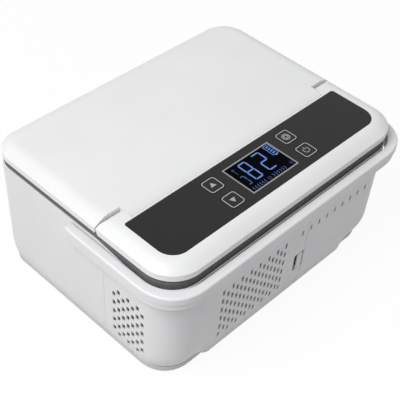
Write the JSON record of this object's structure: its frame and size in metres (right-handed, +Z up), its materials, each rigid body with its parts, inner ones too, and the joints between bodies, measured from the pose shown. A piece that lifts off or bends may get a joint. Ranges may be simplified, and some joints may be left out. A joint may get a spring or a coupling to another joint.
{
  "type": "insulin cooling case",
  "caption": "Portable thermoelectric cold box for insulin: hinged lid over a cold tub, control panel with display and keys, vented fan bay, slide-out battery pack and swing-up carry handle.",
  "frame": {"origin": "on the standing surface, under the middle of the outside box", "axes": "+X along the long side to the right of a user at the controls, +Y from the controls to the lid's free edge, +Z up"},
  "size_m": [0.2266, 0.1676, 0.1015],
  "materials": {
    "white_shell": "fine satin moulded plastic",
    "white_top": "smooth semi-gloss moulded plastic",
    "base_plastic": "satin",
    "inner_plastic": "satin",
    "rubber_foot": "matt",
    "gasket_rubber": "matt",
    "screw_steel": "plain",
    "foam": "closed-cell foam",
    "tub_aluminium": "satin anodised",
    "magnet": "nickel plated",
    "ceramic": "matt ceramic",
    "black_plastic": "satin",
    "circuit_board": "solder mask",
    "cell_wrap": "shrink wrap over a metal can",
    "contact_brass": "plated",
    "dark_panel": "smooth satin film",
    "bezel_metal": "satin",
    "display_glass": "gloss window"
  },
  "bodies": {
    "case": {"outer_shell": "white_shell", "base_plate": "base_plastic", "foot_front_left": "rubber_foot", "foot_front_right": "rubber_foot", "foot_rear_left": "rubber_foot", "foot_rear_right": "rubber_foot", "base_screw_1": "screw_steel", "base_screw_2": "screw_steel", "base_screw_3": "screw_steel", "base_screw_4": "screw_steel", "vent_cover": "white_shell", "insulation": "foam", "cold_tub": "tub_aluminium", "chamber_deck": "inner_plastic", "deck_magnet": "magnet", "gasket": "gasket_rubber", "cold_block": "tub_aluminium", "peltier_module": "ceramic", "heat_sink": "tub_aluminium", "fan_frame": "black_plastic", "power_board": "circuit_board", "dc_socket": "black_plastic", "battery_socket": "black_plastic", "control_housing": "white_top", "control_panel": "dark_panel", "display_bezel": "bezel_metal", "display_glass": "display_glass", "display_module": "black_plastic", "control_board": "circuit_board", "switch_up": "black_plastic", "switch_down": "black_plastic", "switch_mode": "black_plastic", "switch_power": "black_plastic", "hinge_pin_left": "screw_steel", "hinge_pin_right": "screw_steel", "handle_pin_left": "screw_steel", "handle_pin_right": "screw_steel"},
    "lid": {"lid_shell": "white_top", "lid_foam": "foam", "lid_liner": "inner_plastic", "lid_magnet": "magnet", "lid_seal": "gasket_rubber"},
    "carry_handle": {"handle": "white_shell"},
    "fan": {"fan_rotor": "black_plastic"},
    "battery": {"battery_pack": "white_shell", "battery_lid": "inner_plastic", "battery_cell_1": "cell_wrap", "battery_cell_2": "cell_wrap", "battery_cell_3": "cell_wrap", "battery_cell_4": "cell_wrap", "battery_contacts": "contact_brass"},
    "tab": {"release_tab": "white_shell"},
    "up_key": {"key_up": "dark_panel"},
    "down_key": {"key_down": "dark_panel"},
    "mode_key": {"key_mode": "dark_panel"},
    "power_key": {"key_power": "dark_panel"}
  },
  "joints": [
    {"name": "lid_hinge", "type": "hinge", "parent": "case", "child": "lid", "pos_m": [0, -0.0194, 0.09675], "axis": [1, 0, 0], "range_deg": [0, 93]},
    {"name": "handle_pivot", "type": "hinge", "parent": "case", "child": "carry_handle", "pos_m": [0, 0.0038, 0.082], "axis": [-1, 0, 0], "range_deg": [0, 90]},
    {"name": "fan_spin", "type": "hinge", "parent": "case", "child": "fan", "pos_m": [-0.0304, -0.0629, 0.0365], "axis": [0, 1, 0], "continuous": true},
    {"name": "battery_slide", "type": "slide", "parent": "case", "child": "battery", "axis": [0, -1, 0], "range_m": [0, 0.06]},
    {"name": "tab_press", "type": "hinge", "parent": "case", "child": "tab", "pos_m": [0.01605, -0.07335, 0.0231], "axis": [-1, 0, 0], "range_deg": [0, 6], "stiffness_Nm_per_rad": 0.8},
    {"name": "up_key_press", "type": "slide", "parent": "case", "child": "up_key", "axis": [0, 0, -1], "range_m": [0, 0.0005], "stiffness_N_per_m": 3000},
    {"name": "down_key_press", "type": "slide", "parent": "case", "child": "down_key", "axis": [0, 0, -1], "range_m": [0, 0.0005], "stiffness_N_per_m": 3000},
    {"name": "mode_key_press", "type": "slide", "parent": "case", "child": "mode_key", "axis": [0, 0, -1], "range_m": [0, 0.0005], "stiffness_N_per_m": 3000},
    {"name": "power_key_press", "type": "slide", "parent": "case", "child": "power_key", "axis": [0, 0, -1], "range_m": [0, 0.0005], "stiffness_N_per_m": 3000}
  ]
}
